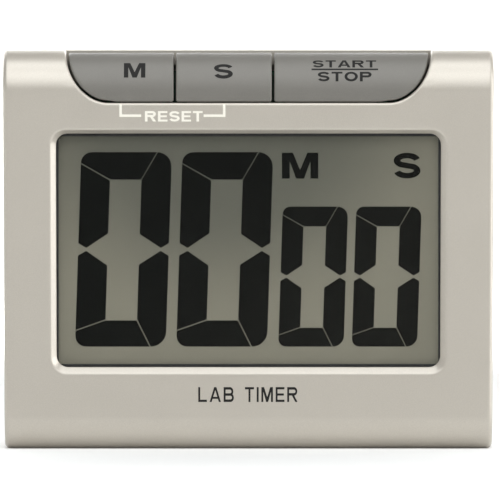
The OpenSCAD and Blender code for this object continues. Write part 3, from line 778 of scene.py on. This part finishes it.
class Finish:
    """A material on the principled shader. Constants sit on its own sockets."""

    def __init__(self, name, **constants):
        self.material = bpy.data.materials.new(name)
        self.material.use_nodes = True
        self.tree = self.material.node_tree
        self.shader = self.tree.nodes["Principled BSDF"]
        for constant, value in constants.items():
            socket = constant.replace("_", " ").title().replace("Ior", "IOR")
            self.shader.inputs[socket].default_value = value
        self.place = self.node("ShaderNodeTexCoord", {}, {}, "Object")

    def node(self, kind, settings, inputs, output=0):
        """Adds a node, sets its settings, then its sockets. Returns one output."""
        made = self.tree.nodes.new(kind)
        for setting, value in settings.items():
            setattr(made, setting, value)
        for socket, value in inputs.items():
            if isinstance(value, Signal):
                self.tree.links.new(value.socket, made.inputs[socket])
            else:
                made.inputs[socket].default_value = value
        return Signal(self, made.outputs[output])

    def noise(self, size_mm, detail=2.0, rough=0.5, stretch=None):
        """Noise whose features are about size_mm across, from 0 to 1."""
        place = self.place
        if stretch:
            place = self.node("ShaderNodeMapping", {}, {"Vector": place, "Scale": stretch})
        return self.node("ShaderNodeTexNoise", {"noise_dimensions": "3D"},
                         {"Vector": place, "Scale": 1 / (size_mm * MM), "Detail": detail,
                          "Roughness": rough}, "Fac")

    def axis(self, which):
        """One of the object's own coordinates, in metres."""
        return self.node("ShaderNodeSeparateXYZ", {}, {0: self.place}, which)

    def between(self, low, high, factor):
        """A colour between two, by a factor from 0 to 1."""
        return self.node("ShaderNodeMix", {"data_type": "RGBA"},
                         {0: factor, 6: (*low, 1), 7: (*high, 1)}, 2)

    def ease(self, value, low, high):
        """0 below low, 1 above high, smooth between."""
        return self.node("ShaderNodeMapRange", {"interpolation_type": "SMOOTHSTEP"},
                         {0: value, 1: low, 2: high})

    def set(self, socket, value):
        """Feeds one of the shader's sockets."""
        self.tree.links.new(value.socket, self.shader.inputs[socket])

    def bump(self, height, strength, distance_mm):
        """Raises and lowers the surface's shading by a height from 0 to 1."""
        self.set("Normal", self.node("ShaderNodeBump", {}, {
            "Height": height, "Strength": strength, "Distance": distance_mm * MM}))


def silver_paint():
    """Fine metallic paint: flakes a tenth or two of a millimetre across, faint clouding, and a
    very shallow orange peel."""
    f = Finish("silver_paint", metallic=0.36, ior=2.1, coat_weight=0.2, coat_roughness=0.3)
    flake = f.ease(f.noise(0.16, 3, 0.7), 0.35, 0.7)
    cloud = f.noise(14, 3)
    f.set("Base Color", f.between((0.455, 0.417, 0.358), (0.548, 0.504, 0.436),
                                  flake * 0.7 + cloud * 0.3))
    f.set("Roughness", 0.32 + flake * 0.08 + cloud * 0.04)
    f.bump(f.noise(0.9, 2) * 0.6 + flake * 0.4, 0.12, 0.02)
    return f.material


def key_paint():
    """Satin grey paint with a finer flake, slightly polished in patches by fingertips."""
    f = Finish("key_paint", metallic=0.1, coat_weight=0.5, coat_roughness=0.5)
    flake = f.ease(f.noise(0.14, 3, 0.7), 0.35, 0.7)
    worn = f.noise(5, 4, 0.6)
    f.set("Base Color", f.between((0.141, 0.133, 0.117), (0.173, 0.164, 0.144),
                                  flake * 0.6 + worn * 0.4))
    f.set("Roughness", 0.52 + flake * 0.08 - worn * 0.05)
    f.bump(flake * 0.5 + f.noise(0.8, 2) * 0.5, 0.12, 0.02)
    return f.material


def display_film():
    """Grey-green display with the reflector's fine grain, and a painted dark reflection:
    darkest at the top, a little left of the middle, and lighter outwards from there."""
    f = Finish("display_film", specular_ior_level=0.2)
    grain = f.noise(0.12, 2, 0.6)
    # painted reflection of something dark: its centre and half sizes, in metres
    reflection_x, reflection_z, half_w, half_h = -0.0061, 0.0644, 0.0304, 0.0249
    off_x, off_z = (f.axis("X") - reflection_x) / half_w, (f.axis("Z") - reflection_z) / half_h
    # light is 0 in the middle of the painted reflection and rises to 1 outside it, where the
    # display shows its own colour
    light = f.ease((off_x * off_x + off_z * off_z) ** 0.5, 0.62, 1.7)
    f.set("Base Color", f.between((0.098, 0.098, 0.078), (0.205, 0.195, 0.150),
                                  light * 0.95 + grain * 0.05))
    f.set("Roughness", 0.4 + grain * 0.08)
    f.bump(grain, 0.05, 0.01)
    return f.material


def display_ink():
    """Lit segments: near black, with painted light that makes them slightly lighter towards the
    lower right.
    """
    f = Finish("display_ink", specular_ior_level=0.08)
    # painted light: 0 at the upper left, rising to 1 at the lower right
    painted_light_low_right = f.ease(f.axis("X") - f.axis("Z"), -0.07, 0.01)
    f.set("Base Color", f.between((0.002, 0.0025, 0.0018), (0.007, 0.007, 0.0055),
                                  painted_light_low_right * 0.85 + f.noise(9, 2) * 0.15))
    f.set("Roughness", 0.5 + f.noise(2, 2) * 0.1)
    return f.material


def moulded(name, low, high, roughness=0.5, **more):
    """Moulded plastic: two close tints clouded together, with a spark-eroded grain."""
    f = Finish(name, **more)
    grain = f.noise(0.25, 3, 0.6)
    f.set("Base Color", f.between(low, high, f.noise(6, 3) * 0.6 + grain * 0.4))
    f.set("Roughness", roughness - 0.06 + grain * 0.12)
    f.bump(grain, 0.2, 0.02)
    return f.material


def plated(name, low, high, roughness=0.28, grain_mm=0.2):
    """Plated or drawn metal with fine rubbing marks."""
    f = Finish(name, metallic=1.0)
    marks = f.noise(grain_mm, 4, 0.7, (1, 6, 1))
    f.set("Base Color", f.between(low, high, f.noise(3, 3)))
    f.set("Roughness", roughness - 0.05 + marks * 0.16)
    f.bump(marks, 0.15, 0.01)
    return f.material


def ink(name, low, high, roughness=0.45, **more):
    """Screen-printed ink: uneven density at the scale of the mesh."""
    f = Finish(name, **more)
    mesh_mark = f.noise(0.1, 2, 0.6)
    f.set("Base Color", f.between(low, high, mesh_mark))
    f.set("Roughness", roughness + mesh_mark * 0.1)
    f.bump(mesh_mark, 0.2, 0.01)
    return f.material


def clear_pane():
    """Clear acrylic: nearly all light passes, with a faint smear pattern in its gloss."""
    f = Finish("clear_pane", base_color=(1, 1, 1, 1), metallic=1.0, alpha=0.002)
    f.set("Roughness", 0.06 + f.noise(12, 4) * 0.08)
    return f.material


def board_green():
    """Green solder mask over copper tracks: the tracks show as lighter lines on a grid."""
    f = Finish("board_green", coat_weight=0.3, coat_roughness=0.15)

    def to_and_fro(value, reach):
        """Rises to reach and falls back to 0 over and over as the value grows."""
        return f.node("ShaderNodeMath", {"operation": "PINGPONG"}, {0: value, 1: reach})

    track = to_and_fro(f.axis("X") + f.noise(9, 1) * 0.01, 0.0009)
    lane = to_and_fro(f.axis("Z") + f.noise(7, 1) * 0.01, 0.0014)
    copper = f.ease(track, 0.0005, 0.0006) * f.ease(lane, 0.0004, 0.0006)
    f.set("Base Color", f.between((0.008, 0.06, 0.025), (0.03, 0.17, 0.07), copper))
    f.set("Roughness", 0.3 + f.noise(0.5, 2) * 0.15)
    f.bump(copper, 0.3, 0.03)
    return f.material


# ---------------------------------------------------------------- CAD nodes
DOUBLE_GAP = 2e-6  # metres between corners that are one
FLAT_ANGLE = math.radians(0.4)  # faces that meet at less than this are joined
BEVEL_ANGLE = math.radians(35)  # edges sharper than this are rounded


def dress(node, material):
    """Gives a CAD node that stays its material."""
    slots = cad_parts[node].data.materials
    slots.clear()
    slots.append(material)


def softened(name, node, body, material, edge):
    """Stands in for a CAD node with its sharp edges rounded: a copy whose doubles are merged and
    whose flat faces are joined, with a bevel that is edge millimetres wide."""
    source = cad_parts[node].data
    work = bmesh.new()
    work.from_mesh(source)
    bmesh.ops.remove_doubles(work, verts=work.verts, dist=DOUBLE_GAP)
    bmesh.ops.dissolve_limit(work, angle_limit=FLAT_ANGLE, verts=work.verts, edges=work.edges,
                             delimit=set())
    mesh = bpy.data.meshes.new(name)
    work.to_mesh(mesh)
    work.free()
    mesh.shade_smooth()
    made = linked(name, mesh, material)
    soft = made.modifiers.new("edges", "BEVEL")
    soft.width = edge * MM
    soft.segments = 3
    soft.limit_method = "ANGLE"
    soft.angle_limit = BEVEL_ANGLE
    soft.use_clamp_overlap = False
    even = made.modifiers.new("even_shading", "WEIGHTED_NORMAL")
    even.keep_sharp = False
    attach(made, body)
    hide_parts(node)


# ---------------------------------------------------------------- the pieces
silver = silver_paint()
grey = key_paint()
black = moulded("black_plastic", (0.012, 0.012, 0.012), (0.02, 0.02, 0.02), 0.5)
white = moulded("white_plastic", (0.62, 0.62, 0.58), (0.72, 0.72, 0.68), 0.45)
steel = plated("bright_steel", (0.56, 0.56, 0.54), (0.68, 0.67, 0.65))
film = display_film()
segment_ink = display_ink()
pane = clear_pane()

shell = front_shell(silver)
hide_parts("front_case")

# name, left and right side, whether each is round, and the plunger behind
KEYS = [
    ("key_m", m_low[0], m_high[0], True, False, "plunger_m"),
    ("key_s", m_high[0] + KEY_GAP, st_low[0] - KEY_GAP, False, False, "plunger_s"),
    ("key_start_stop", st_low[0], st_high[0], False, True, "plunger_start_stop"),
]
for name, x0, x1, round_left, round_right, plunger in KEYS:
    key(name, x0, x1, round_left, round_right, plunger, grey)

# legends on the keys, laid over the brow
legend_ink = ink("legend_ink", (0.009, 0.0085, 0.008), (0.016, 0.015, 0.014), 0.55,
                 specular_ior_level=0.2)
print_white = ink("print_white", (0.80, 0.77, 0.68), (0.9, 0.87, 0.78))
printed("legend_m", [legend("M", 4.2, -24.34, 72.63, 75.6)], key_skin, "key_m", legend_ink)
printed("legend_s", [legend("S", 3.7, -6.74, 72.4, 75.38)], key_skin, "key_s", legend_ink)
rule = placed(sliced(*bar(0, 13.0, 0, 0.38), SLICE), 12.32, height_to_s(74.14))
printed("legend_start_stop", [legend("START", 12.4, 12.56, 74.7, 76.17), rule,
                              legend("STOP", 10.5, 13.55, 71.86, 73.8)],
        key_skin, "key_start_stop", legend_ink)

# reset bracket on the face: two uprights, and a line between them that is broken by the word
BRACKET_T = 0.5
left, right, low, high = -25.2, -4.5, 64.85, 67.3
word_left, word_right = -20.95, -8.76
bracket = [
    bar(left, left + BRACKET_T, low, high),
    bar(left + BRACKET_T, word_left, low, low + BRACKET_T),
    bar(word_right, right - BRACKET_T, low, low + BRACKET_T),
    bar(right - BRACKET_T, right, low, high),
]
printed("reset_print", [placed(lettering("RESET", 11.25, 2.04), -20.2, 63.95), *bracket],
        on_face, "case", print_white)
printed("face_print", [placed(lettering("LAB TIMER", 19.4, 2.9, 0.17, 0.24), -9.8, 9.2)],
        on_face, "case", legend_ink)

# the display's lit segments and unit marks
DIGIT_FOOT, SMALL_DIGIT = 19.96, 0.72
UNIT_FOOT, UNIT_H, UNIT_STROKE = 52.8, 5.06, 0.22
marks = []
for left, scale in ((-33.9, 1), (-14.11, 1), (5.83, SMALL_DIGIT), (20.2, SMALL_DIGIT)):
    marks += digit_zero(left, DIGIT_FOOT, scale)
marks += [placed(lettering("M", 7.12, UNIT_H, UNIT_STROKE), 6.53, UNIT_FOOT),
          placed(lettering("S", 5.3, UNIT_H, UNIT_STROKE), 28.35, UNIT_FOOT)]
printed("display_marks", marks, on_display, "case", segment_ink, INK_PROUD_DISPLAY)

# CAD nodes that stay as they are get their materials; four more get rounded edges
dress("window_lens", pane)
dress("lcd_gasket", black)
dress("front_polariser", film)
for node in ("front_glass", "rear_glass"):
    dress(node, moulded("glass_edge_" + node, (0.35, 0.42, 0.38), (0.45, 0.52, 0.47), 0.2))
dress("lcd_reflector", film)
dress("lcd_holder", white)
dress("zebra_strips", moulded("pink_silicone", (0.5, 0.13, 0.17), (0.6, 0.2, 0.24), 0.5))
dress("circuit_board", board_green())
dress("chip_blob", moulded("black_resin", (0.008, 0.008, 0.008), (0.014, 0.014, 0.014), 0.25))
dress("crystal", steel)
dress("capacitors", moulded("blue_sleeve", (0.01, 0.015, 0.07), (0.02, 0.03, 0.11), 0.3))
for node in ("switch_m", "switch_s", "switch_start_stop"):
    dress(node, black)
brown = moulded("brown_plastic", (0.05, 0.025, 0.012), (0.07, 0.035, 0.018), 0.45)
for node in ("plunger_m", "plunger_s", "plunger_start_stop"):
    dress(node, brown)
dress("buzzer", plated("brass_disc", (0.62, 0.42, 0.15), (0.75, 0.55, 0.24)))
dress("battery", moulded("cell_jacket", (0.02, 0.035, 0.06), (0.03, 0.05, 0.09), 0.25))
dress("contact_spring", steel)
dress("contact_plate", steel)
red = moulded("red_wire", (0.4, 0.01, 0.01), (0.5, 0.02, 0.015), 0.35)
dress("wire_red", red)
dress("buzzer_wires", red)
dress("wire_black", black)
ferrite = moulded("ferrite", (0.03, 0.03, 0.032), (0.05, 0.05, 0.05), 0.5, metallic=0.4)
softened("magnet_pair", "magnets", "case", ferrite, 0.3)
dress("case_screws", steel)
dress("board_screws", steel)
softened("back_shell", "back_case", "case", silver, 0.16)
softened("door_panel", "battery_door", "battery_door", silver, 0.2)
softened("stand_leg", "stand", "stand", silver, 0.25)

# ---------------------------------------------------------------- stage, lights, camera
WORLD_GLOW = 0.265


def pale_floor():
    """Matt pale sheet that glows a little, and more towards its far left and right, where the
    soft lights don't reach."""
    f = Finish("pale_floor", emission_strength=1.0)
    x = f.axis("X")
    far = f.ease(x * x, 0.1, 6.0) ** 0.5
    f.set("Emission Color", f.between((0.06, 0.06, 0.06), (0.85, 0.85, 0.85), far))
    f.set("Base Color", f.between((0.847, 0.847, 0.837), (0.86, 0.86, 0.85), f.noise(90, 2)))
    f.set("Roughness", 0.6 + f.noise(40, 2) * 0.05)
    return f.material


def sweep_floor():
    """Floor and backdrop in one sheet: flat, then a quarter circle up to a wall behind, with a
    low upright edge at the far left and right."""
    reach, back, bend, tall = 6000, 3400, 600, 4000
    side, edge = 3900, 200
    a = np.radians(np.linspace(0, 90, 24))
    curve = np.stack([back + bend * np.sin(a), bend * (1 - np.cos(a))], 1)
    profile = np.vstack([[(-reach, 0)], curve, [(back + bend, tall)]])
    shape = Shape()
    shape.rows([np.stack([np.full(len(profile), x), profile[:, 0], profile[:, 1] + lift], 1)
                for x, lift in ((-side, edge), (-side, 0), (0, 0), (side, 0), (side, edge))])
    mesh = bpy.data.meshes.new("floor")
    mesh.from_pydata((shape.points * MM).tolist(), [], shape.faces)
    mesh.shade_smooth()
    mesh.set_sharp_from_angle(angle=SHARP_ANGLE)
    made = linked("floor", mesh, pale_floor())


def softbox(name, place, target, width, height, power, colour=(1, 1, 1)):
    """A rectangular soft light at a place, turned towards a target."""
    data = bpy.data.lights.new(name, "AREA")
    data.shape = "RECTANGLE"
    data.size, data.size_y = width, height
    data.energy = power
    data.color = colour
    made = linked(name, data)
    made.location = place
    made.rotation_mode = "QUATERNION"
    made.rotation_quaternion = (Vector(target) - Vector(place)).to_track_quat("-Z", "Y")


sweep_floor()
middle = (0, 0, HEIGHT * MM / 2)
COOL = (0.96, 0.985, 1.0)
# name, place, target, width, height, power, all in metres and watts; then the colour if not white
LIGHTS = [
    ("front_low", (0.0, -0.81, 0.53), middle, 1.1, 0.26, 1.75, COOL),
    ("front_mid", (0.0, -0.58, 0.75), middle, 1.1, 0.38, 3.35, COOL),
    ("overhead", (0.0, -0.16, 0.94), middle, 1.1, 0.42, 3.6, COOL),
    ("right_light", (0.95, -0.18, 0.30), middle, 0.4, 0.8, 5.2),
    ("left_light", (-0.95, -0.30, 0.30), middle, 0.4, 0.8, 0.5),
    ("wall_light", (0.0, 0.9, 1.2), (0, 3.6, 0.4), 2.4, 0.8, 220),
]
for light in LIGHTS:
    softbox(*light)
world = bpy.data.worlds.new("studio")
bpy.context.scene.world = world
world.use_nodes = True
background = world.node_tree.nodes["Background"].inputs
background["Color"].default_value = (1, 1, 1, 1)
background["Strength"].default_value = WORLD_GLOW

# the camera, in metres: FRAME_WIDTH is what it sees across at the face
DISTANCE = 2.0
FRAME_WIDTH = 0.0976
SENSOR = 36
LIFT = math.radians(0.8)
AIM_X, AIM_Z = 0.0003, 0.03870
camera_data = bpy.data.cameras.new("camera")
camera = linked("camera", camera_data)
bpy.context.scene.camera = camera
camera_data.sensor_width = SENSOR
camera_data.lens = SENSOR * (DISTANCE + FACE_Y * MM) / FRAME_WIDTH
camera.location = (AIM_X, -DISTANCE * math.cos(LIFT), AIM_Z + DISTANCE * math.sin(LIFT))
camera.rotation_euler = (math.radians(90) - LIFT, 0, 0)
bpy.context.scene.view_settings.view_transform = "Standard"
